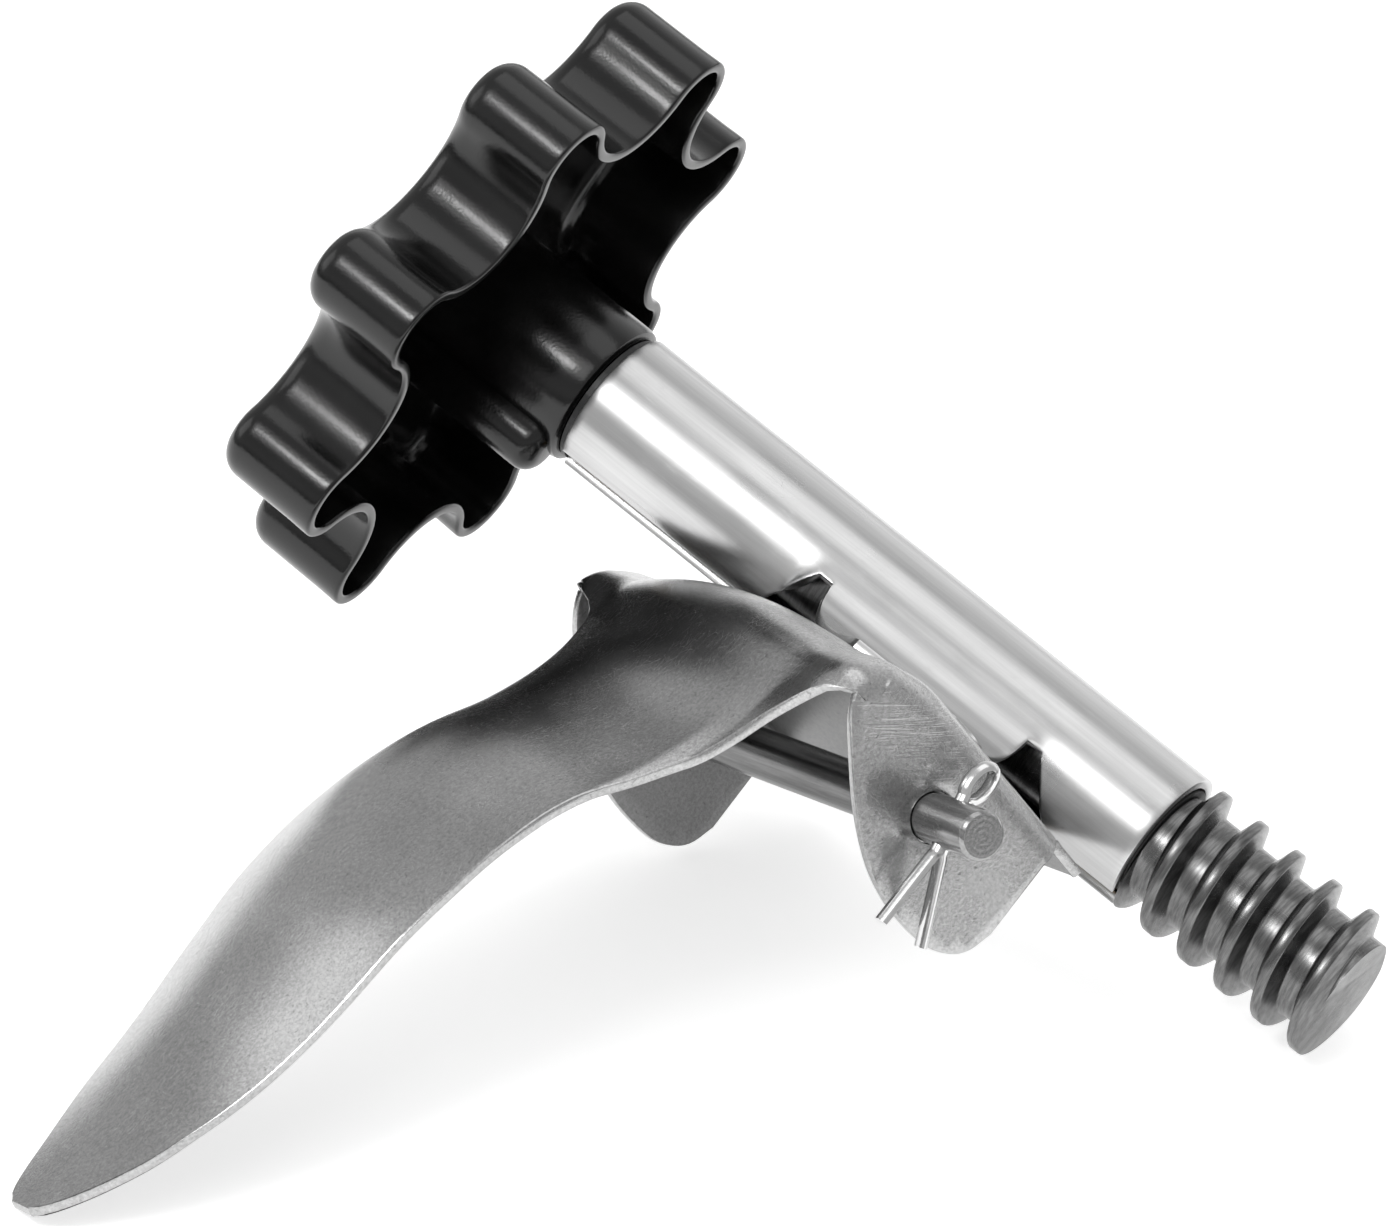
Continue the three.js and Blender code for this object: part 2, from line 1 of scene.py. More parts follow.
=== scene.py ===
import json
import math
import bmesh
import bpy
import numpy as np
from mathutils import Matrix, Vector
from mathutils.geometry import delaunay_2d_cdt


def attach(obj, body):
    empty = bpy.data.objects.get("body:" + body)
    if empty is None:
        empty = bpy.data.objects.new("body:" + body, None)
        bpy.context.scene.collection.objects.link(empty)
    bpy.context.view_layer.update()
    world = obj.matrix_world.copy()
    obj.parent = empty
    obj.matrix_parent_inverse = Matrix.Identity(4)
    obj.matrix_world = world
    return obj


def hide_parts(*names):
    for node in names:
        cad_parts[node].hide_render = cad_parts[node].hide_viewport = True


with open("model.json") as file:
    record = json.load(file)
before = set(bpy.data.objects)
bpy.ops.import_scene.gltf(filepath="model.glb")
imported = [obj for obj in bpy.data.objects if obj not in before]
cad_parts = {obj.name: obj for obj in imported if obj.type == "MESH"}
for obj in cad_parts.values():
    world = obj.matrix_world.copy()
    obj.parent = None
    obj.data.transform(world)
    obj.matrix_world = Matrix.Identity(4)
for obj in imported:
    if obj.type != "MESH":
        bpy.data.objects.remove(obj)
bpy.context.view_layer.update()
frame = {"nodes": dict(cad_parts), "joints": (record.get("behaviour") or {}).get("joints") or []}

MM = 0.001
# vertices closer than this, in mm, become one
WELD = 0.004
QUARTER = math.pi / 2

# pressed bracket, in the lever's own axes: X away from the arm, Y along the clevis pin, Z up from the web
SHEET = 1.8
EAR_OUT = 44.1
WEB_TOP = 14.2
WEB_END_X = 28.5
FOLD_R = 5.5
SHOULDER_R = 11
SHOULDER_X = -20.6
SHOULDER_TURN = 1.5
EAR_FRONT_X = 21.7
WEB_SIDE = 40
ARM_CROWN = 5
ARM_HALF_WIDTH = 26
ARM_TWIST = 0.11
# how far the material's normals lean on the upper blade
LEAN = 0.17
HOLE_R = 4.1
# outer edge of an ear in side view, from its front corner round to the arm
EAR_EDGE = [
    [EAR_FRONT_X, -5], [20.6, -9.6], [18, -12.4], [14, -14.1], [6, -14.6], [-1, -13.4],
    [-7, -10.9], [-12.4, -7.7], [-18, -3.6], [-21.8, -0.6], [-24, 1.8], [-25, 3.6],
]
# side view of the arm's crown line
ARM_LINE = [
    [-31.6, 4], [-32.1, -5], [-33.7, -13.5], [-37.8, -23.6], [-43.1, -34.1], [-46.8, -46],
    [-48.9, -58], [-49.3, -72], [-48, -85], [-46.6, -97], [-45.9, -106], [-45.6, -114],
    [-45.4, -121], [-45.7, -127], [-46.5, -133], [-47.6, -139], [-49, -146],
]
# heights of the crown line where the arm leaves the ears and where it ends
ARM_TOP = 4.6
ARM_TIP = -138.6
# half width of the arm at each height; the far neck is cut back further than the near one
NEAR_NECK = [[ARM_TOP, 44.3], [2.4, 42], [0.8, 39.6], [-2, 36.8], [-6, 34.3], [-11.9, 32], [-17.9, 30]]
FAR_NECK = [[ARM_TOP, 44.3], [2.6, 38], [1, 33.4], [-2, 29.4], [-7, 26.8], [-12, 25.9], [-17.9, 26]]
ARM_WIDTHS = [
    [-24, 28], [-32, 26.3], [-40, 25.8], [-50, 26.4], [-60, 26.6], [-72, 26], [-81, 25.3],
    [-90, 24.2], [-98, 22.6], [-106, 20.6], [-113, 18.4], [-120, 15.6], [-126, 12.4],
    [-131.5, 9], [-135.5, 5.8], [-138, 2.4], [ARM_TIP, 0],
]

# rolled tube, in its own axes: X along the tube, Y across it, Z up; a station is a place along it
TUBE_CROSS_X = 10.1
TUBE_Z = 29.5
TUBE_R = 12.3
TUBE_REAR = -70.8
TUBE_FRONT = 43.9
SEAM_HALF = 2.5
WINDOW_TOP = -3.9
REAR_WINDOW = -23.2
FRONT_WINDOW = 22.8
REAR_SLANT = -0.6
FRONT_SLANT = 0.58
# the near wall leaves the round between the first pair of stations and is back between the second
REAR_FLARE = (-27.5, -21.5)
FRONT_FLARE = (19, 25)
NEAR_SKIRT = (-20.6, 20)
FAR_SKIRT = (-22.3, 12.4)
# angle from the tube's top at which a skirt leaves the round
SKIRT_LEAVES = 1.2
SKIRT_CURVE = [
    [12.3, -2], [12.7, -4.6], [14.2, -7.6], [17, -9.9],
    [21.5, -11.9], [27, -13.4], [33, -14.3], [40, -14.8],
]
SKIRT_REACH = 38
# edges of the web that the skirts keep inside, across the tube at station 0, and the near rear edge
WEB_FRONT_EDGE = 25.17
WEB_SIDE_EDGE = 54.02
REAR_EDGE_AT = (-19.1, 14.4)
REAR_EDGE_SLOPE = 1.594

# spindle, knob and pins
WORM_ROOT_R = 9.15
WORM_CREST_R = 12.4
WORM_PITCH = 7.5
WORM_START = 44.3
WORM_END = 82
WORM_PHASE = 2.4
SHAFT_R = 8

KNOB_LOBES = 8
LOBE_TIP_R = 53.5
LOBE_R = 7.5
VALLEY_R = 39
KNOB_RIM = -88.3
KNOB_DEPTH = 19.8
KNOB_WALL = 1.7
KNOB_WEB = 2.4
KNOB_TURN = -0.32
HUB_R = 12.75
HUB_END = -72.1
RIB_R = 5
RIB_AT = -13.2
RIB_END = -73.2
KNOB_EDGE_R = 4
KNOB_LIP_R = 0.55
HUB_FILLET = 2.2
RIB_NOSE_R = 3.2
SPRING_PIN_AT = -83.1
SPRING_HOLE_R = 2.6
# the hole for the spring pin broke out oval
SPRING_HOLE_LONG = 1.15
SPRING_HOLE_WIDE = 0.9

PIN_R = 4
PIN_FREE_END = 14.7
COTTER_R = 1.5
COTTER_FROM_EAR = 5.5
COTTER_TILT = 0.33
COTTER_GAP = 0.06
COTTER_HOLE_R = 1.65
COTTER_LEFT_LEG = [
    [-3.5, -18.4], [-1.9, -11.8], [-0.45, -6], [-0.1, -4.7], [-COTTER_GAP, 0], [-COTTER_GAP, 4.2],
]
COTTER_RIGHT_LEG = [
    [4.2, -19], [2.3, -12.2], [0.5, -6], [0.1, -4.7], [COTTER_GAP, 0], [COTTER_GAP, 4.2],
]
COTTER_EYE_HALF = (1.3, 2.7)
COTTER_EYE_FOOT = (0.25, 4.9)
COTTER_EYE_LEAN = 0.32

# camera: its place in metres, its turn in degrees and its lens in mm
EYE_AT = (0.971815, -1.392595, 1.079974)
EYE_TURN = (59.29596, -1.35117, 35.4563)
EYE_LENS = 330.6

joints = {j["name"]: j for j in frame["joints"]}
pin_axis = Vector(joints["clevis_turn"]["axis"]).normalized()
tube_axis = Vector(joints["spindle_spin"]["axis"]).normalized()
away = (math.sqrt(2) * tube_axis + pin_axis).normalized()
raised = away.cross(pin_axis).normalized()
lever_frame = Matrix((away, pin_axis, raised)).transposed().to_4x4()
lever_frame.translation = Vector(joints["clevis_turn"]["pos_m"])
to_row = lever_frame @ Matrix.Scale(MM, 4)
tube_local = Matrix.Translation((TUBE_CROSS_X, 0, TUBE_Z)) @ Matrix.Rotation(-math.pi / 4, 4, "Z")
tube_to_row = to_row @ tube_local


def spline(points, count):
    """Points spread evenly by arc length along a Catmull-Rom curve."""
    p = np.array(points, float)
    ends = np.vstack([2 * p[0] - p[1], p, 2 * p[-1] - p[-2]])
    fine = []
    for i in range(len(p) - 1):
        a, b, c, d = ends[i:i + 4]
        for t in np.linspace(0, 1, 24, endpoint=False):
            fine.append(0.5 * (2 * b + (c - a) * t + (2 * a - 5 * b + 4 * c - d) * t * t
                               + (3 * b - a - 3 * c + d) * t ** 3))
    fine.append(p[-1])
    return spread(np.array(fine), count)


def spread(line, count):
    """The same line with evenly spaced points."""
    line = np.array(line, float)
    along = travelled(line)
    at = np.linspace(0, along[-1], count)
    return np.stack([np.interp(at, along, line[:, k]) for k in range(line.shape[1])], 1)


def travelled(line):
    """Distance travelled along a line at each of its points."""
    return np.concatenate([[0], np.cumsum(np.linalg.norm(np.diff(line, axis=0), axis=1))])


def smoothstep(v, low, high):
    t = np.clip((v - low) / (high - low), 0, 1)
    return t * t * (3 - 2 * t)


def unit_rows(v):
    return v / np.maximum(np.linalg.norm(v, axis=-1, keepdims=True), 1e-12)


def grid_faces(rows, columns, first=0, wrap=False):
    """Quads between rows of points, closed round each row when they wrap."""
    across = columns if wrap else columns - 1
    return [(first + i * columns + j, first + i * columns + (j + 1) % columns,
             first + (i + 1) * columns + (j + 1) % columns, first + (i + 1) * columns + j)
            for i in range(rows - 1) for j in range(across)]


def new_mesh(name, points, faces, matrix, sharp=0.6):
    """A smooth-shaded object whose points are given in the matrix's space."""
    mesh = bpy.data.meshes.new(name)
    mesh.from_pydata([tuple(p) for p in points], [], [tuple(f) for f in faces])
    work = bmesh.new()
    work.from_mesh(mesh)
    bmesh.ops.remove_doubles(work, verts=work.verts, dist=WELD)
    bmesh.ops.dissolve_degenerate(work, edges=work.edges, dist=WELD / 2)
    bmesh.ops.recalc_face_normals(work, faces=work.faces)
    bmesh.ops.transform(work, matrix=matrix, verts=work.verts)
    work.to_mesh(mesh)
    work.free()
    mesh.shade_smooth()
    mesh.set_sharp_from_angle(angle=sharp)
    made = bpy.data.objects.new(name, mesh)
    bpy.context.scene.collection.objects.link(made)
    return made


def welded(points, faces):
    """A clean open surface as a bmesh."""
    work = bmesh.new()
    verts = [work.verts.new(p) for p in points]
    for face in faces:
        loop = []
        for k in face:
            if verts[k] not in loop:
                loop.append(verts[k])
        if len(loop) > 2 and work.faces.get(loop) is None:
            work.faces.new(loop)
    bmesh.ops.remove_doubles(work, verts=work.verts, dist=WELD)
    bmesh.ops.dissolve_degenerate(work, edges=work.edges, dist=WELD)
    loose = [v for v in work.verts if not v.link_faces]
    bmesh.ops.delete(work, geom=loose, context="VERTS")
    work.normal_update()
    work.verts.index_update()
    return work


def rim_of(work):
    """The surface's boundary edges, and the outward way at each of their vertices."""
    outward = {}
    rim = []
    for e in work.edges:
        if not e.is_boundary:
            continue
        loop = e.link_loops[0]
        a, b = loop.vert, loop.link_loop_next.vert
        rim.append((a.index, b.index))
        way = (b.co - a.co).cross(loop.face.normal)
        if way.length > 1e-9:
            way.normalize()
        for v in (a, b):
            outward[v.index] = outward.get(v.index, Vector()) + way
    return rim, {i: way.normalized() for i, way in outward.items()}


def sheet_solid(points, faces, thickness=SHEET, edge=0.4):
    """Gives a thin surface its thickness behind its normals, with a rounded edge all round."""
    work = welded(points, faces)
    rim, outward = rim_of(work)
    base = [v.co.copy() for v in work.verts]
    normals = [v.normal.copy() for v in work.verts]
    count = len(base)
    front = [(0.3, 0.3), (0, 1)]
    steps = front + [(inset, thickness / edge - depth) for inset, depth in reversed(front)]
    out = [base[i] - outward.get(i, Vector()) * edge for i in range(count)]
    out += [out[i] - normals[i] * thickness for i in range(count)]
    made = [[v.index for v in f.verts] for f in work.faces]
    made += [[count + k for k in reversed(f)] for f in made]
    rings = {}
    for i, way in outward.items():
        chain = [i]
        for inset, depth in steps:
            chain.append(len(out))
            out.append(base[i] - way * edge * inset - normals[i] * edge * depth)
        rings[i] = chain + [count + i]
    for a, b in rim:
        for k in range(len(rings[a]) - 1):
            made.append((rings[b][k], rings[a][k], rings[a][k + 1], rings[b][k + 1]))
    work.free()
    return out, made


def crown_rows():
    """Rows of the bracket from the web's free end to the arm's tip: x, z and the outward normal."""
    line = [[x, WEB_TOP] for x in np.linspace(WEB_END_X, -16, 34)]
    for i in range(1, 15):
        turn = SHOULDER_TURN * i / 14
        sink = SHOULDER_R * (1 - math.cos(turn))
        line.append([SHOULDER_X - SHOULDER_R * math.sin(turn), WEB_TOP - sink])
    line += [list(p) for p in spline(ARM_LINE, 110)[1:]]
    line = np.array(line)
    along = unit_rows(np.gradient(line, axis=0))
    return line, np.stack([along[:, 1], -along[:, 0]], 1)


def crown_drop(x, z, y):
    """How far the skin falls away from the crown line at a distance from the middle plane."""
    grown = 0.55 * smoothstep(-x, 12, 28) + 0.45 * smoothstep(-z, 4, 34)
    grown -= 0.5 * smoothstep(-z, 100, 140)
    return ARM_CROWN * grown * np.minimum(np.abs(y) / ARM_HALF_WIDTH, 1.15) ** 2


def arm_twist(z, y):
    """The upper blade is turned slightly towards the near side; its edges stay where they are."""
    share = np.clip(y / ARM_HALF_WIDTH, -1, 1)
    held = smoothstep(-z, 0, 14) * (1 - smoothstep(-z, 44, 72))
    return -ARM_TWIST * held * ARM_HALF_WIDTH * share * (1 - share ** 2)


def skin_point(p, n, side, reach):
    """A point of the pressed skin at an arc length from the middle plane, round the drawn fold."""
    flat = EAR_OUT - FOLD_R
    turn = np.clip((reach - flat) / FOLD_R, 0, QUARTER)
    y = np.minimum(reach, flat) + FOLD_R * np.sin(turn)
    back = FOLD_R * (1 - np.cos(turn)) + crown_drop(p[0], p[1], y) + arm_twist(p[1], side * y)
    return [p[0] + n[0] * -back, side * y, p[1] + n[1] * -back]


def half_reach(neck, z):
    """Arc length from the middle plane to the edge at a height of the crown line."""
    edge = spline(neck + ARM_WIDTHS, 400)[::-1]
    half = np.interp(z, edge[:, 0], edge[:, 1])
    flat = EAR_OUT - FOLD_R
    if half <= flat:
        return half
    return flat + FOLD_R * math.asin(min((half - flat) / FOLD_R, 1))


def bracket_skin():
    """The pressing's outer skin: web, folds and arm as one grid each side, with an ear below each fold."""
    line, normal = crown_rows()
    full = EAR_OUT - FOLD_R + FOLD_R * QUARTER
    share = np.concatenate([np.linspace(0, 0.8, 15), np.linspace(0.8, 1, 15)[1:]])
    points, faces = [], []
    first_ear = min(i for i, p in enumerate(line) if p[0] <= EAR_FRONT_X + 0.01)
    last_ear = max(i for i, p in enumerate(line) if p[1] > ARM_TOP)
    kept = [i for i, p in enumerate(line) if p[1] > ARM_TIP]
    for side, neck in ((-1, NEAR_NECK), (1, FAR_NECK)):
        first = len(points)
        for i in kept:
            reach = full if i <= last_ear else half_reach(neck, line[i][1])
            if i < first_ear:
                reach = WEB_SIDE
            points += [skin_point(line[i], normal[i], side, reach * s) for s in share]
        made = grid_faces(len(kept), len(share), first)
        faces += made if side > 0 else [f[::-1] for f in made]
        fold = [skin_point(line[i], normal[i], side, full) for i in range(first_ear, last_ear + 1)]
        ear_points, ear_faces = ear(fold, side, len(points))
        points += ear_points
        faces += ear_faces
    return points, faces


def ear(fold, side, first):
    """The flat ear below the fold, with its pin hole."""
    top = [(p[0], p[2]) for p in fold]
    edge = [tuple(p) for p in spline(EAR_EDGE, 60)]
    outline = top + edge[::-1]
    ring = [(HOLE_R * math.cos(a), HOLE_R * math.sin(a)) for a in np.linspace(0, 2 * math.pi, 49)[:-1]]
    spots = [(x, z) for x in np.arange(-28, 22, 2.5) for z in np.arange(-14, 12, 2.5)]
    inside = [p for p in spots if math.hypot(*p) > HOLE_R + 1.4 and within(p, outline, 1.2)]
    flat = [Vector(p) for p in outline + ring + inside]
    loops = [list(range(len(outline))), list(range(len(outline), len(outline) + len(ring)))]
    edges = [(loop[i], loop[(i + 1) % len(loop)]) for loop in loops for i in range(len(loop))]
    verts, _, tris, _, _, _ = delaunay_2d_cdt(flat, edges, [], 0, 1e-5)
    faces = []
    for tri in tris:
        middle = sum((verts[k] for k in tri), Vector((0, 0))) / 3
        if middle.length < HOLE_R - 0.01 or not within(middle, outline, 0):
            continue
        a, b, c = (verts[k] for k in tri)
        turn = (b - a).cross(c - a) * side
        faces.append(tuple(first + k for k in (tri if turn < 0 else tri[::-1])))
    return [[v.x, side * EAR_OUT, v.y] for v in verts], faces


def within(point, outline, margin):
    """Whether a point lies inside an outline and at least a margin away from it."""
    x, z = point
    loop = np.array(outline)
    after = np.roll(loop, -1, axis=0)
    crosses = (loop[:, 1] > z) != (after[:, 1] > z)
    rise = np.where(crosses, after[:, 1] - loop[:, 1], 1)
    at = loop[:, 0] + (z - loop[:, 1]) * (after[:, 0] - loop[:, 0]) / rise
    if np.count_nonzero(crosses & (x < at)) % 2 == 0:
        return False
    step = after - loop
    share = np.clip(((x - loop[:, 0]) * step[:, 0] + (z - loop[:, 1]) * step[:, 1])
                    / np.maximum((step ** 2).sum(1), 1e-12), 0, 1)
    gap = np.hypot(loop[:, 0] + share * step[:, 0] - x, loop[:, 1] + share * step[:, 1] - z)
    return gap.min() >= margin


def opening(along):
    """How far the near wall leaves the round towards the skirt's line: fully between the two windows."""
    return float(smoothstep(along, *REAR_FLARE) * (1 - smoothstep(along, *FRONT_FLARE)))


def tube_wall(along, reach, flare):
    """A point of the rolled tube at an arc length from its top; flare opens it into a skirt."""
    turn = reach / TUBE_R
    round_point = np.array([TUBE_R * math.sin(turn), TUBE_R * math.cos(turn)])
    if flare <= 0 or reach <= SKIRT_START:
        return [along, *round_point]
    open_point = np.array([np.interp(reach, SKIRT_REACHES, SKIRT_LINE[:, k]) for k in (0, 1)])
    return [along, *(round_point * (1 - flare) + open_point * flare)]


def skirt_line():
    """Cross-section of a skirt, from where it leaves the tube to where it lies on the web."""
    angles = np.linspace(SKIRT_LEAVES, SKIRT_LEAVES + 0.4, 5)
    circle = [[TUBE_R * math.sin(a), TUBE_R * math.cos(a)] for a in angles]
    return spline(circle + SKIRT_CURVE, 120)


SKIRT_LINE = skirt_line()
SKIRT_START = SKIRT_LEAVES * TUBE_R
SKIRT_REACHES = SKIRT_START + travelled(SKIRT_LINE)


def reach_at(target, column):
    """Arc length at which the skirt line first passes a value across or in height."""
    sign = 1 if column == 0 else -1
    return float(np.interp(sign * target, sign * SKIRT_LINE[:, column], SKIRT_REACHES))


def skirt_limit(along, side):
    """How far a skirt reaches from the tube's middle plane before it would leave the web."""
    if side < 0:
        rear_edge = REAR_EDGE_AT[1] + (along - REAR_EDGE_AT[0]) * REAR_EDGE_SLOPE
        return min(SKIRT_REACH, rear_edge, WEB_SIDE_EDGE - along)
    return min(SKIRT_REACH, WEB_FRONT_EDGE - along, WEB_SIDE_EDGE + along)


def tube_stations():
    """Stations along the tube, closer together between its windows."""
    ends = [TUBE_REAR, -29, REAR_WINDOW, FAR_SKIRT[0], NEAR_SKIRT[1], FRONT_WINDOW, 27, TUBE_FRONT]
    counts = [26, 9, 3, 68, 5, 6, 12]
    runs = [np.linspace(a, b, n) for a, b, n in zip(ends, ends[1:], counts)]
    return np.unique(np.concatenate(runs).round(4))


def tube_skin():
    """The tube's outer wall: round above, closed on the far side, cut by two windows on the near side."""
    points, faces = [], []
    shoulder = reach_at(WINDOW_TOP, 1)
    seam = TUBE_R * (math.pi - math.asin(SEAM_HALF / TUBE_R))
    stations = tube_stations()
    upper = np.linspace(-shoulder, shoulder, 61)
    for a in stations:
        near, far = -upper[upper < 0], upper[upper >= 0]
        points += [mirrored(tube_wall(a, r, opening(a))) for r in near]
        points += [tube_wall(a, r, 0) for r in far]
    faces += grid_faces(len(stations), len(upper))
    lower = np.linspace(shoulder, seam, 17)
    windows = ((TUBE_REAR, REAR_WINDOW, REAR_SLANT), (TUBE_FRONT, FRONT_WINDOW, FRONT_SLANT))
    for end, window, slant in windows:
        shares = [(a - end) / (window - end) for a in stations]
        cut = window + slant * np.minimum(lower - shoulder, 11)
        rows = [end + share * (cut - end) for share in shares if -1e-6 <= share <= 1 + 1e-6]
        faces += side_grid(points, rows, [lower] * len(rows), -1, opening)
    rows = [[a] * len(lower) for a in stations]
    faces += side_grid(points, rows, [lower] * len(rows), 1, lambda a: 0)
    rows = [a for a in stations if NEAR_SKIRT[0] <= a <= NEAR_SKIRT[1] + 1e-6]
    limits = [max(reach_at(skirt_limit(a, -1), 0), shoulder + 0.3) for a in rows]
    reaches = [np.linspace(shoulder, limit, 30) for limit in limits]
    faces += side_grid(points, [[a] * 30 for a in rows], reaches, -1, opening)
    return points, [f[::-1] for f in faces]


def far_skirt():
    """The skirt on the far side, starting inside the closed wall."""
    points = []
    rows = np.linspace(*FAR_SKIRT, 36)
    reaches = [np.linspace(SKIRT_START + 3, reach_at(skirt_limit(a, 1), 0), 34) for a in rows]
    faces = side_grid(points, [[a] * 34 for a in rows], reaches, 1, lambda a: 1)
    return points, [f[::-1] for f in faces]


def mirrored(point):
    """The same point on the tube's other side."""
    return [point[0], -point[1], point[2]]


def side_grid(points, rows, reaches, side, flare):
    """A grid below the window height on one side: stations along the tube and arc lengths round it."""
    first = len(points)
    for stations, row in zip(rows, reaches):
        made = [tube_wall(a, r, flare(a)) for a, r in zip(stations, row)]
        points += made if side > 0 else [mirrored(p) for p in made]
    made = grid_faces(len(rows), len(reaches[0]), first)
    return made if side > 0 else [f[::-1] for f in made]


def turned(profile, segments=96, centre=(0, 0)):
    """Points and faces of a body of revolution about X; the profile lists [along, radius]."""
    points = [[a, centre[0] + r * math.cos(t), centre[1] + r * math.sin(t)]
              for a, r in profile for t in np.linspace(0, 2 * math.pi, segments + 1)[:-1]]
    return points, grid_faces(len(profile), segments, wrap=True)


def joined(*parts):
    """Several sets of points and faces as one."""
    points, faces = [], []
    for p, f in parts:
        faces += [tuple(k + len(points) for k in face) for face in f]
        points += list(p)
    return points, faces


def worm():
    """One continuous helical surface, cut square at both ends."""
    flank = [[0.66, WORM_CREST_R], [0.84, WORM_CREST_R - 0.1], [0.95, WORM_CREST_R - 0.32],
             [2.02, WORM_ROOT_R + 0.3], [2.2, WORM_ROOT_R + 0.06], [2.45, WORM_ROOT_R]]
    profile = [[-WORM_PITCH / 2, WORM_ROOT_R]] + [[-a, r] for a, r in reversed(flank)] + flank
    steps = 88
    work = bmesh.new()
    count = int(math.ceil((WORM_END - WORM_START) / WORM_PITCH + 3)) * steps
    rows = []
    for i in range(count + 1):
        turn = 2 * math.pi * i / steps + WORM_PHASE
        along = WORM_START - 1.5 * WORM_PITCH + WORM_PITCH * i / steps
        c, s = math.cos(turn), math.sin(turn)
        rows.append([work.verts.new((along + a, r * c, r * s)) for a, r in profile])
    for i in range(count):
        for j in range(len(profile) - 1):
            work.faces.new((rows[i][j], rows[i][j + 1], rows[i + 1][j + 1], rows[i + 1][j]))
        if i + steps + 1 <= count:
            work.faces.new((rows[i][-1], rows[i + steps][0], rows[i + steps + 1][0], rows[i + 1][-1]))
    for at, way in ((WORM_START, -1), (WORM_END, 1)):
        everything = work.verts[:] + work.edges[:] + work.faces[:]
        cut = bmesh.ops.bisect_plane(work, geom=everything, dist=1e-5, plane_co=(at, 0, 0),
                                     plane_no=(way, 0, 0), clear_outer=True)
        ends = [g for g in cut["geom_cut"] if isinstance(g, bmesh.types.BMEdge)]
        bmesh.ops.edgeloop_fill(work, edges=ends)
    bmesh.ops.triangulate(work, faces=[f for f in work.faces if len(f.verts) > 4])
    work.verts.index_update()
    points = [list(v.co) for v in work.verts]
    faces = [[v.index for v in f.verts] for f in work.faces]
    work.free()
    return points, faces


def lobed_outline(inset, steps=14):
    """Round lobe tips joined by hollow arcs, at a distance inside the outer face."""
    step = 2 * math.pi / KNOB_LOBES
    lobe_at = LOBE_TIP_R - LOBE_R
    drop = LOBE_R - VALLEY_R
    hollow_at = (lobe_at ** 2 - drop ** 2) / (2 * (lobe_at * math.cos(step / 2) + drop))
    hollow_r = hollow_at - VALLEY_R + inset
    meet = math.atan2(hollow_at * math.sin(step / 2), hollow_at * math.cos(step / 2) - lobe_at)
    points = []
    for k in range(KNOB_LOBES):
        turn = k * step + KNOB_TURN
        middle = turn + step / 2
        for i in range(-steps, steps + 1):
            angle = turn + meet * i / steps
            points.append([lobe_at * math.cos(turn) + (LOBE_R - inset) * math.cos(angle),
                           lobe_at * math.sin(turn) + (LOBE_R - inset) * math.sin(angle)])
        for i in range(1, 2 * steps):
            angle = middle + math.pi + (meet - step / 2) * (1 - i / steps)
            points.append([hollow_at * math.cos(middle) + hollow_r * math.cos(angle),
                           hollow_at * math.sin(middle) + hollow_r * math.sin(angle)])
    return np.array(points)


def rounded(along, inset, radius, start, end, steps):
    """[along, inset] levels round part of a circle."""
    return [[along + radius * (1 - math.sin(t)), inset + radius * (1 - math.cos(t))]
            for t in np.linspace(start, end, steps)]


def wall_levels(back, floor):
    """[along, inset] of the lobed wall: up its outside, over the rim and down to the floor."""
    spread_out = -0.2
    levels = rounded(back, 0, KNOB_EDGE_R, QUARTER, 0, 8)
    levels += [[KNOB_RIM - 4, spread_out / 2], [KNOB_RIM - 1.4, spread_out]]
    for t in np.linspace(0, QUARTER, 5):
        rise, turn_in = 1 - math.sin(t), 1 - math.cos(t)
        levels.append([KNOB_RIM - KNOB_LIP_R * rise, spread_out + KNOB_LIP_R * turn_in])
    for t in np.linspace(0, QUARTER, 5):
        fall, turn_in = 1 - math.cos(t), 1 - math.sin(t)
        levels.append([KNOB_RIM - KNOB_LIP_R * fall, KNOB_WALL - KNOB_LIP_R * turn_in])
    levels.append([KNOB_RIM - 5, KNOB_WALL + 0.1])
    return levels + rounded(floor, KNOB_WALL + 0.2, KNOB_EDGE_R - KNOB_WALL, 0, QUARTER, 6)


def hub_levels(floor):
    """[along, radius] of the hub: from the knob's floor, up its outside and down into its bore."""
    bore = 9.7
    levels = [[floor, 30], [floor, HUB_R + HUB_FILLET + 3]]
    for t in np.linspace(0, QUARTER, 6):
        levels.append([floor + HUB_FILLET * (1 - math.cos(t)), HUB_R + HUB_FILLET * (1 - math.sin(t))])
    levels += [[HUB_END - 6, HUB_R], [HUB_END - 1.3, HUB_R], [HUB_END - 0.5, HUB_R - 0.25]]
    levels += [[HUB_END, HUB_R - 1], [HUB_END, bore + 0.9], [HUB_END - 0.5, bore + 0.1], [floor + 1, bore]]
    return levels


def knob_shell():
    """Points and faces of the hollow knob: its back, its lobed wall and its round hub."""
    back = KNOB_RIM - KNOB_DEPTH
    floor = back + KNOB_WEB
    outline = lobed_outline(KNOB_EDGE_R)
    angle = np.arctan2(outline[:, 1], outline[:, 0])
    circle = np.stack([np.cos(angle), np.sin(angle)], 1)
    rings = [[back, circle * r] for r in (0.01, 14, 26)]
    rings += [[along, lobed_outline(inset)] for along, inset in wall_levels(back, floor)]
    rings += [[along, circle * r] for along, r in hub_levels(floor)]
    points = np.concatenate([np.column_stack([np.full(len(circle), a), ring]) for a, ring in rings])
    return points, grid_faces(len(rings), len(circle), wrap=True)


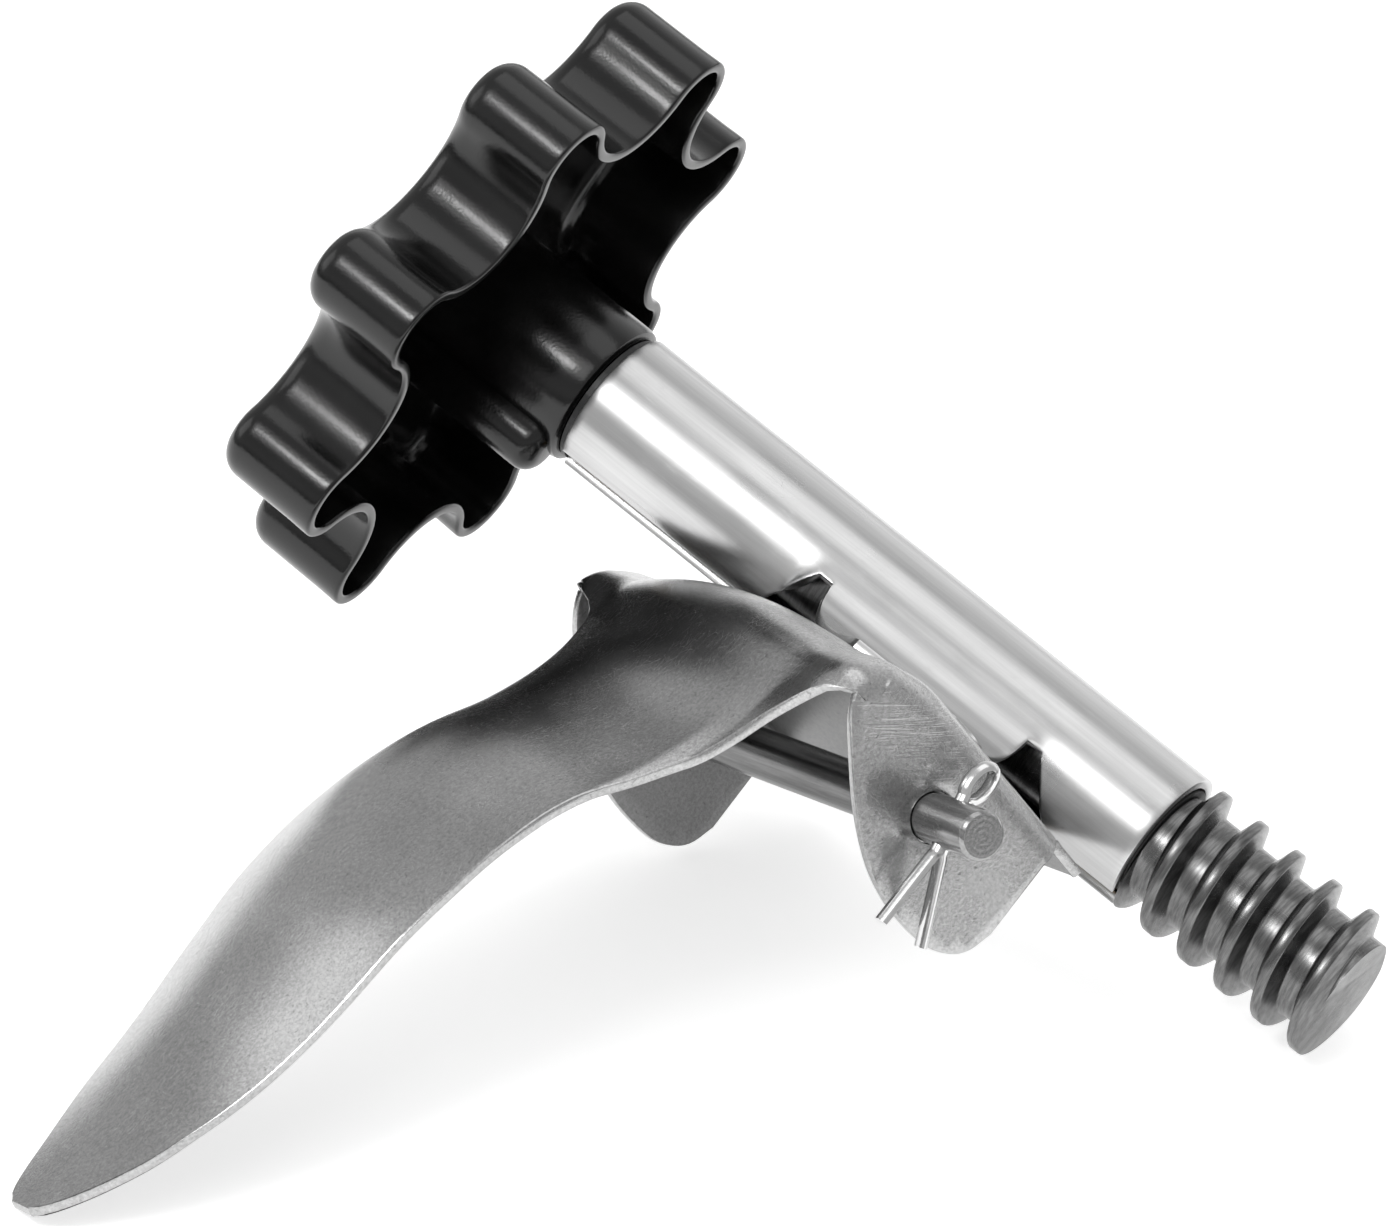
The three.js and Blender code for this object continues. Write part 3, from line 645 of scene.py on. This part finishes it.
def cut_away(target, cutter):
    """Takes one object out of another and keeps the result as plain mesh."""
    step = target.modifiers.new("cut", "BOOLEAN")
    step.operation = "DIFFERENCE"
    step.solver = "EXACT"
    step.object = cutter
    ready = target.evaluated_get(bpy.context.evaluated_depsgraph_get())
    result = bpy.data.meshes.new_from_object(ready)
    target.modifiers.clear()
    target.data = result
    bpy.data.objects.remove(cutter)
    result.shade_smooth()
    result.set_sharp_from_angle(angle=0.6)
    return target


def joined_objects(name, objects):
    """One object from several, without changing their shapes."""
    work = bmesh.new()
    for o in objects:
        work.from_mesh(o.data)
    mesh = bpy.data.meshes.new(name)
    work.to_mesh(mesh)
    work.free()
    for o in objects:
        bpy.data.objects.remove(o)
    mesh.shade_smooth()
    mesh.set_sharp_from_angle(angle=0.6)
    made = bpy.data.objects.new(name, mesh)
    bpy.context.scene.collection.objects.link(made)
    return made


def spring_pin_hole():
    """The rough drilled hole in the hub that ends on the spring pin."""
    sides = 40
    depth = 6
    points, faces = turned([[0, 0.01], [0, SPRING_HOLE_R], [depth, SPRING_HOLE_R], [depth, 0.01]], sides)
    wobble = 1 + 0.07 * np.random.default_rng(3).standard_normal(sides)
    rough = []
    for k, (up, along, across) in enumerate(points):
        along *= SPRING_HOLE_LONG * wobble[k % sides]
        across *= SPRING_HOLE_WIDE * wobble[k % sides]
        rough.append([SPRING_PIN_AT + along, across, HUB_R + 1 - depth + up])
    return new_mesh("hole", rough, faces, tube_to_row)


def rib():
    """The rounded rib that runs along the underside of the hub, out of the knob's floor."""
    floor = KNOB_RIM - KNOB_DEPTH + KNOB_WEB
    nose = RIB_END - RIB_NOSE_R
    profile = [[floor - 1, 0.01], [floor - 1, RIB_R + 1.6], [floor + 0.2, RIB_R + 0.7]]
    profile += [[floor + 1.2, RIB_R + 0.15], [floor + 2.4, RIB_R], [nose, RIB_R]]
    for t in np.linspace(0.2, QUARTER, 7):
        profile.append([nose + RIB_NOSE_R * math.sin(t), RIB_R - RIB_NOSE_R * (1 - math.cos(t))])
    profile.append([RIB_END, 0.01])
    return new_mesh("rib", *turned(profile, 56, (0, RIB_AT)), tube_to_row)


def knob():
    shell = new_mesh("knob_shell", *knob_shell(), tube_to_row)
    cut_away(shell, spring_pin_hole())
    return joined_objects("hand_knob", [shell, rib()])


def clevis_pin():
    """The pin with its chamfered free end, flat head and cross hole."""
    free = -EAR_OUT - PIN_FREE_END
    head = EAR_OUT + 0.3
    end = [[0, 0.01], [0, PIN_R - 0.55], [0.12, PIN_R - 0.42], [0.5, PIN_R - 0.08], [0.8, PIN_R]]
    cap = [[0, PIN_R], [0, 6.1], [0.2, 6.3], [2, 6.3], [2.4, 6.1], [2.6, 5.7], [2.6, 0.01]]
    profile = [[free + a, r] for a, r in end] + [[head + a, r] for a, r in cap]
    points, faces = turned(profile, 96)
    points = [[p[1], p[0], p[2]] for p in points]
    pin = new_mesh("turned_clevis_pin", points, faces, to_row)
    past = PIN_R + 2
    hole, sides = turned([[-past, 0.01], [-past, COTTER_HOLE_R], [past, COTTER_HOLE_R], [past, 0.01]], 32)
    c, s = math.cos(COTTER_TILT), math.sin(COTTER_TILT)
    hole = [[p[1] * c - p[0] * s, -EAR_OUT - COTTER_FROM_EAR + p[2], p[0] * c + p[1] * s] for p in hole]
    return cut_away(pin, new_mesh("hole", hole, sides, to_row))


def cotter_path():
    """Centre line of the wire in the cotter's own plane: up one leg, round the eye, down the other."""
    half, tall = COTTER_EYE_HALF
    c, s = math.cos(COTTER_EYE_LEAN), math.sin(COTTER_EYE_LEAN)
    eye = []
    for angle in np.linspace(1.4 * math.pi, -0.4 * math.pi, 25):
        u, v = half * math.cos(angle), tall * (1 + math.sin(angle))
        eye.append([COTTER_EYE_FOOT[0] + u * c + v * s, COTTER_EYE_FOOT[1] + v * c - u * s])
    return spline(COTTER_LEFT_LEG + eye + COTTER_RIGHT_LEG[::-1], 170)


def cotter():
    """Points and faces of the half-round wire, its flat side inwards."""
    path = cotter_path()
    along = unit_rows(np.gradient(path, axis=0))
    out = np.stack([-along[:, 1], along[:, 0]], 1)
    c, s = math.cos(COTTER_TILT), math.sin(COTTER_TILT)
    radius = COTTER_R - COTTER_GAP
    round_side = np.linspace(QUARTER - 0.12, -QUARTER + 0.12, 13)
    ring = [[radius * math.cos(t), radius * math.sin(t)] for t in round_side]
    ring += [[0.02, -radius * 0.9], [0, 0], [0.02, radius * 0.9]]
    points = []
    for p, o in zip(path, out):
        for away_by, across in ring:
            u, v = p + o * away_by
            points.append([u * c - v * s, -EAR_OUT - COTTER_FROM_EAR + across, v * c + u * s])
    count = len(ring)
    faces = grid_faces(len(path), count, wrap=True)
    faces += [tuple(range(count)), tuple(range(len(points) - count, len(points)))[::-1]]
    return points, faces


def spindle():
    """Worm and shaft, as turned from one bar."""
    start = KNOB_RIM - KNOB_DEPTH + KNOB_WEB + 1
    inside_worm = WORM_START + 0.1
    shaft = turned([[start, 0.01], [start, SHAFT_R - 0.8], [start + 0.8, SHAFT_R],
                    [inside_worm, SHAFT_R], [inside_worm, 0.01]], 72)
    return new_mesh("threaded_spindle", *joined(worm(), shaft), tube_to_row, sharp=0.7)


def tube():
    wall = new_mesh("tube_wall", *sheet_solid(*tube_skin(), edge=0.3), tube_to_row)
    wing = new_mesh("far_skirt", *sheet_solid(*far_skirt(), edge=0.3), tube_to_row)
    return joined_objects("rolled_tube", [wall, wing])


def build_pieces():
    """Each visible piece with the CAD node it stands for, the body it moves with and its material slot."""
    bracket = new_mesh("pressed_bracket", *sheet_solid(*bracket_skin()), to_row)
    return {
        "lever_bracket": (bracket, "lever", "stainless"),
        "spindle_tube": (tube(), "lever", "tube_steel"),
        "worm_spindle": (spindle(), "spindle", "turned_steel"),
        "knob": (knob(), "spindle", "black_plastic"),
        "clevis_pin": (clevis_pin(), "clevis", "plain_steel"),
        "cotter_pin": (new_mesh("bent_cotter", *cotter(), to_row, sharp=0.9), "clevis", "wire_steel"),
    }


class Look:
    """Builds one procedural material from a small set of node helpers."""

    def __init__(self, name):
        self.material = bpy.data.materials.new(name)
        self.material.use_nodes = True
        self.tree = self.material.node_tree
        self.shader = self.tree.nodes["Principled BSDF"]
        self.place = self.tree.nodes.new("ShaderNodeTexCoord").outputs["Object"]

    def link(self, a, b):
        self.tree.links.new(a, b)

    def set(self, **values):
        for key, value in values.items():
            self.shader.inputs[key.replace("_", " ")].default_value = value

    def turned_to(self, columns, origin=(0, 0, 0)):
        """Coordinates along axes of the object's own, from an origin."""
        turn = self.tree.nodes.new("ShaderNodeMapping")
        turn.inputs["Location"].default_value = origin
        turn.vector_type = "TEXTURE"
        matrix = Matrix(columns).transposed()
        turn.inputs["Rotation"].default_value = matrix.to_euler()
        self.link(self.place, turn.inputs["Vector"])
        return turn.outputs[0]

    def scaled(self, source, scale, shift=(0, 0, 0)):
        node = self.tree.nodes.new("ShaderNodeMapping")
        node.inputs["Scale"].default_value = scale
        node.inputs["Location"].default_value = shift
        self.link(source, node.inputs["Vector"])
        return node.outputs[0]

    def noise(self, source, scale, detail=4, rough=0.6):
        node = self.tree.nodes.new("ShaderNodeTexNoise")
        node.inputs["Scale"].default_value = scale
        node.inputs["Detail"].default_value = detail
        node.inputs["Roughness"].default_value = rough
        self.link(source, node.inputs["Vector"])
        return node.outputs["Fac"]

    def ramp(self, source, low, high, to_low=0.0, to_high=1.0):
        node = self.tree.nodes.new("ShaderNodeMapRange")
        node.interpolation_type = "SMOOTHSTEP"
        limits = {"From Min": low, "From Max": high, "To Min": to_low, "To Max": to_high}
        for key, value in limits.items():
            node.inputs[key].default_value = value
        self.link(source, node.inputs["Value"])
        return node.outputs[0]

    def math(self, kind, a, b):
        node = self.tree.nodes.new("ShaderNodeMath")
        node.operation = kind
        for k, value in enumerate((a, b)):
            if isinstance(value, (int, float)):
                node.inputs[k].default_value = value
            else:
                self.link(value, node.inputs[k])
        return node.outputs[0]

    def grey(self, source, low, high):
        node = self.tree.nodes.new("ShaderNodeMix")
        node.data_type = "RGBA"
        node.inputs["A"].default_value = (low, low, low, 1)
        node.inputs["B"].default_value = (high, high, high, 1)
        self.link(source, node.inputs["Factor"])
        return node.outputs["Result"]

    def scratches(self, source, scale, seed, thin=0.012):
        """Fine lines in mixed directions: stretched cells whose borders are thin."""
        bent = self.scaled(source, scale, (seed, seed * 1.7, seed * 0.3))
        node = self.tree.nodes.new("ShaderNodeTexVoronoi")
        node.feature = "DISTANCE_TO_EDGE"
        self.link(bent, node.inputs["Vector"])
        line = self.ramp(node.outputs["Distance"], 0, thin, 1, 0)
        patch = self.ramp(self.noise(source, 90 + 10 * seed), 0.5, 0.62)
        return self.math("MULTIPLY", line, patch)

    def vector(self, kind, a, b=None):
        """A vector operation; either side may be a socket or a fixed vector."""
        node = self.tree.nodes.new("ShaderNodeVectorMath")
        node.operation = kind
        for k, value in enumerate((a, b)):
            if isinstance(value, bpy.types.NodeSocket):
                self.link(value, node.inputs[k])
            elif value is not None:
                node.inputs[k].default_value = value
        return node

    def axes(self, source):
        """The three coordinates of a vector, one by one."""
        node = self.tree.nodes.new("ShaderNodeSeparateXYZ")
        self.link(source, node.inputs[0])
        return node.outputs

    def normal(self):
        return self.tree.nodes.new("ShaderNodeNewGeometry").outputs["Normal"]

    def bump(self, height, strength, distance):
        """Adds a relief to whatever the surface's normal already is."""
        node = self.tree.nodes.new("ShaderNodeBump")
        node.inputs["Strength"].default_value = strength
        node.inputs["Distance"].default_value = distance
        self.link(height, node.inputs["Height"])
        previous = self.shader.inputs["Normal"]
        if previous.is_linked:
            self.link(previous.links[0].from_socket, node.inputs["Normal"])
        self.link(node.outputs[0], previous)

    def darken(self, factor):
        """Scales the base colour by a factor."""
        colour = self.shader.inputs["Base Color"]
        node = self.vector("SCALE", colour.links[0].from_socket)
        self.link(factor, node.inputs["Scale"])
        self.link(node.outputs[0], colour)


def stainless():
    """Pressed sheet: clouded, finely grained and scratched outside; painted shade darkens the inner faces,
    which are also duller.
    """
    look = Look("pressed_stainless")
    look.set(Metallic=1.0)
    along = look.turned_to((away, pin_axis, raised))
    cloud = look.noise(along, 40, 3, 0.5)
    grain = look.noise(along, 1700, 4, 0.8)
    pits = look.ramp(look.noise(along, 1500, 2, 0.5), 0.66, 0.73)
    marks = look.math("MAXIMUM", look.scratches(along, (420, 160, 60), 1.3, 0.006),
                      look.scratches(along, (50, 380, 120), 4.1, 0.006))
    tone = look.math("ADD", look.math("MULTIPLY", look.ramp(cloud, 0.3, 0.7), 0.35),
                     look.math("MULTIPLY", look.ramp(grain, 0.3, 0.7), 0.65))
    tone = look.math("SUBTRACT", tone, look.math("MULTIPLY", pits, 0.9))
    inside = inner_shade_and_dullness(look)
    look.link(look.grey(tone, 0.3, 0.56), look.shader.inputs["Base Color"])
    # painted shade: the faces turned in towards the pin get half the colour
    look.darken(look.ramp(inside, 0, 1, 1, 0.5))
    rough = look.math("ADD", look.ramp(cloud, 0.3, 0.72, 0.22, 0.28), look.math("MULTIPLY", marks, 0.12))
    rough = look.math("ADD", rough, look.math("MULTIPLY", inside, 0.1))
    look.link(rough, look.shader.inputs["Roughness"])
    leaning(look)
    look.bump(grain, 0.3, 0.00008)
    look.bump(look.math("ADD", pits, marks), 0.2, -0.00005)
    look.bump(polishing(look), 0.35, 0.00006)
    return look.material


def inner_shade_and_dullness(look):
    """1 on the faces of the pressing that look in towards the clevis pin, 0 on its outside; painted shade
    darkens these faces and makes them duller.
    """
    place = look.vector("SUBTRACT", look.place, lever_frame.translation).outputs[0]
    facing = look.vector("DOT_PRODUCT", look.normal(), place).outputs["Value"]
    return look.ramp(facing, -0.004, -0.009)


def leaning(look):
    """The upper blade's surface leans a little to the near side, as a slightly twisted pressing does."""
    x, _, z = look.axes(look.turned_to((away, pin_axis, raised), lever_frame.translation))
    held = look.math("MULTIPLY", look.ramp(z, -0.001, -0.011), look.ramp(z, -0.062, -0.045))
    held = look.math("MULTIPLY", held, look.ramp(x, -0.024, -0.03))
    lean = look.vector("SCALE", -pin_axis)
    look.link(look.math("MULTIPLY", held, LEAN), lean.inputs["Scale"])
    total = look.vector("ADD", look.normal(), lean.outputs[0])
    unit = look.vector("NORMALIZE", total.outputs[0])
    look.link(unit.outputs[0], look.shader.inputs["Normal"])


def polishing(look):
    """Slanted grinding lines beside the near fold."""
    slant = look.turned_to(((away + raised).normalized(), pin_axis, (raised - away).normalized()))
    lines = look.ramp(look.noise(look.scaled(slant, (90, 90, 2400)), 1, 2, 0.5), 0.5, 0.62)
    x, y, z = look.axes(look.turned_to((away, pin_axis, raised), lever_frame.translation))
    patch = look.math("MULTIPLY", look.ramp(z, 0, 0.004), look.ramp(x, -0.001, -0.006))
    patch = look.math("MULTIPLY", patch, look.ramp(y, -0.04, -0.043))
    return look.math("MULTIPLY", lines, patch)


def brushed(name, low, high, rough, stretch, columns, seed=0.0):
    """Metal with fine lines along one direction."""
    look = Look(name)
    look.set(Metallic=1.0)
    along = look.turned_to(columns)
    streak = look.noise(look.scaled(along, stretch, (seed, 0, 0)), 1, 4, 0.65)
    cloud = look.noise(along, 60, 3, 0.5)
    marks = look.scratches(along, (60, 300, 420), 2.2 + seed, 0.008)
    look.link(look.grey(look.ramp(streak, 0.25, 0.75), low, high), look.shader.inputs["Base Color"])
    mixed = look.math("ADD", look.ramp(cloud, 0.3, 0.7, rough - 0.03, rough + 0.04),
                      look.math("MULTIPLY", marks, 0.15))
    look.link(mixed, look.shader.inputs["Roughness"])
    look.bump(streak, 0.12, 0.00004)
    look.bump(marks, 0.2, -0.00005)
    return look


def pin_steel():
    """Drawn bar with fine lines along it and turning marks on its ends; painted shade darkens it between
    the ears.
    """
    look = brushed("drawn_pin_steel", 0.26, 0.4, 0.22, (2400, 90, 2400), (away, pin_axis, raised), 5.0)
    centred = look.turned_to((away, pin_axis, raised), lever_frame.translation)
    # painted shade: the shank between the ears gets half the colour
    look.darken(look.ramp(look.axes(centred)["Y"], -0.0443, -0.0425, 1, 0.5))
    across = look.vector("MULTIPLY", centred, (1, 0, 1)).outputs[0]
    radius = look.vector("LENGTH", across).outputs["Value"]
    turns = look.math("SINE", look.math("MULTIPLY", radius, 7000), 0)
    look.bump(turns, 0.04, 0.00004)
    return look.material


def plastic():
    """Black moulded plastic with a fine grain and a little dust."""
    look = Look("moulded_black_plastic")
    look.set(Metallic=0.0, Specular_IOR_Level=0.5)
    grain = look.noise(look.place, 2300, 2, 0.6)
    cloud = look.noise(look.place, 60, 4, 0.6)
    dust = look.ramp(look.noise(look.place, 3000, 1, 0.4), 0.7, 0.78)
    tone = look.math("ADD", look.ramp(cloud, 0.35, 0.75), look.math("MULTIPLY", dust, 1.5))
    look.link(look.grey(tone, 0.002, 0.005), look.shader.inputs["Base Color"])
    rough = look.math("ADD", look.ramp(cloud, 0.3, 0.7, 0.12, 0.2), look.math("MULTIPLY", grain, 0.06))
    look.link(rough, look.shader.inputs["Roughness"])
    look.bump(grain, 0.3, 0.00006)
    return look.material


def dull(name, colour, metallic, rough):
    """A plain material of one colour, slightly clouded."""
    look = Look(name)
    look.set(Metallic=metallic)
    cloud = look.noise(look.place, 300, 4, 0.6)
    node = look.tree.nodes.new("ShaderNodeMix")
    node.data_type = "RGBA"
    node.inputs["A"].default_value = (*[c * 0.8 for c in colour], 1)
    node.inputs["B"].default_value = (*colour, 1)
    look.link(cloud, node.inputs["Factor"])
    look.link(node.outputs["Result"], look.shader.inputs["Base Color"])
    look.link(look.ramp(cloud, 0.3, 0.7, rough - 0.06, rough + 0.06), look.shader.inputs["Roughness"])
    look.bump(look.noise(look.place, 1800, 2, 0.6), 0.15, 0.0001)
    return look.material


def dress(pieces):
    """Puts a material on every piece and on the CAD nodes that stay, and ties the pieces to the frame."""
    tube_axes = (tube_axis, raised.cross(tube_axis).normalized(), raised)
    rolled = brushed("rolled_tube_steel", 0.52, 0.6, 0.3, (40, 1500, 1500), tube_axes)
    machined = brushed("turned_dark_steel", 0.1, 0.22, 0.27, (2600, 260, 260), tube_axes, 3.0)
    looks = {
        "stainless": stainless(),
        "tube_steel": rolled.material,
        "turned_steel": machined.material,
        "plain_steel": pin_steel(),
        "wire_steel": dull("bright_wire", (0.75, 0.75, 0.75), 1.0, 0.2),
        "black_plastic": plastic(),
        "bronze": dull("bush_bronze", (0.42, 0.3, 0.16), 1.0, 0.42),
        "acetal": dull("washer_acetal", (0.012, 0.012, 0.012), 0.0, 0.45),
    }
    for node, (piece, body, slot) in pieces.items():
        piece.data.materials.clear()
        piece.data.materials.append(looks[slot])
        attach(piece, body)
        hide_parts(node)
    kept = {
        "bush_front": "bronze", "bush_rear": "bronze",
        "washer_front": "acetal", "washer_rear": "acetal",
        "knob_insert": "plain_steel", "knob_spring_pin": "turned_steel",
    }
    for node, slot in kept.items():
        data = frame["nodes"][node].data
        data.materials.clear()
        data.materials.append(looks[slot])


def softbox(name, at, size, power):
    """A rectangular lamp aimed at the object's middle."""
    light = bpy.data.lights.new(name, "AREA")
    light.shape = "RECTANGLE"
    light.size, light.size_y = size
    light.energy = power
    holder = bpy.data.objects.new(name, light)
    holder.location = at
    holder.rotation_euler = (Vector((0, 0, 0.05)) - Vector(at)).to_track_quat("-Z", "Y").to_euler()
    bpy.context.scene.collection.objects.link(holder)


def studio():
    """A plain pale floor under soft lamps."""
    floor_mesh = bpy.data.meshes.new("floor")
    floor_mesh.from_pydata([(-1, -1, 0), (1, -1, 0), (1, 1, 0), (-1, 1, 0)], [], [(0, 1, 2, 3)])
    floor = bpy.data.objects.new("floor", floor_mesh)
    floor.location.z = -0.0005
    bpy.context.scene.collection.objects.link(floor)
    look = Look("pale_floor")
    look.set(Roughness=0.8, Emission_Color=(1, 1, 1, 1), Emission_Strength=0.6)
    look.link(look.grey(look.noise(look.place, 6, 3, 0.5), 0.88, 0.9), look.shader.inputs["Base Color"])
    floor.data.materials.append(look.material)
    surroundings()
    softbox("key", (0.0, -0.78, 1.05), (1.0, 0.6), 3.2)
    softbox("key_core", (-0.05, -0.77, 1.0), (0.34, 0.16), 2.6)
    softbox("ceiling", (0.1, 0.35, 1.6), (1.6, 0.9), 4)
    softbox("side", (-1.1, -0.45, 0.7), (0.7, 0.8), 1.8)


def surroundings():
    """A studio room: dark low down, mid grey at eye level and paler overhead."""
    world = bpy.data.worlds.new("studio")
    bpy.context.scene.world = world
    world.use_nodes = True
    tree = world.node_tree
    place = tree.nodes.new("ShaderNodeTexCoord")
    parts = tree.nodes.new("ShaderNodeSeparateXYZ")
    ramp = tree.nodes.new("ShaderNodeValToRGB")
    stops = ((0.47, 0.06), (0.51, 0.36), (0.58, 0.62), (0.75, 0.5), (1, 0.6))
    while len(ramp.color_ramp.elements) < len(stops):
        ramp.color_ramp.elements.new(1)
    for element, (at, grey) in zip(ramp.color_ramp.elements, stops):
        element.position = at
        element.color = (grey, grey, grey, 1)
    shift = tree.nodes.new("ShaderNodeMapRange")
    shift.inputs["From Min"].default_value = -1
    tree.links.new(place.outputs["Generated"], parts.inputs[0])
    tree.links.new(parts.outputs["Z"], shift.inputs["Value"])
    tree.links.new(shift.outputs[0], ramp.inputs[0])
    tree.links.new(ramp.outputs[0], tree.nodes["Background"].inputs["Color"])
    back_wall = tree.nodes.new("ShaderNodeMapRange")
    back_wall.interpolation_type = "SMOOTHSTEP"
    limits = {"From Min": 0.55, "From Max": 0.95, "To Min": 1.0, "To Max": 2.0}
    for key, value in limits.items():
        back_wall.inputs[key].default_value = value
    tree.links.new(parts.outputs["Y"], back_wall.inputs["Value"])
    tree.links.new(back_wall.outputs[0], tree.nodes["Background"].inputs["Strength"])


def camera():
    """A long lens, well away from the object."""
    data = bpy.data.cameras.new("view")
    data.lens = EYE_LENS
    data.sensor_width = 36
    data.clip_end = 20
    eye = bpy.data.objects.new("view", data)
    eye.location = EYE_AT
    eye.rotation_euler = [math.radians(turn) for turn in EYE_TURN]
    bpy.context.scene.collection.objects.link(eye)
    bpy.context.scene.camera = eye
    bpy.context.scene.view_settings.view_transform = "Standard"


dress(build_pieces())
studio()
camera()
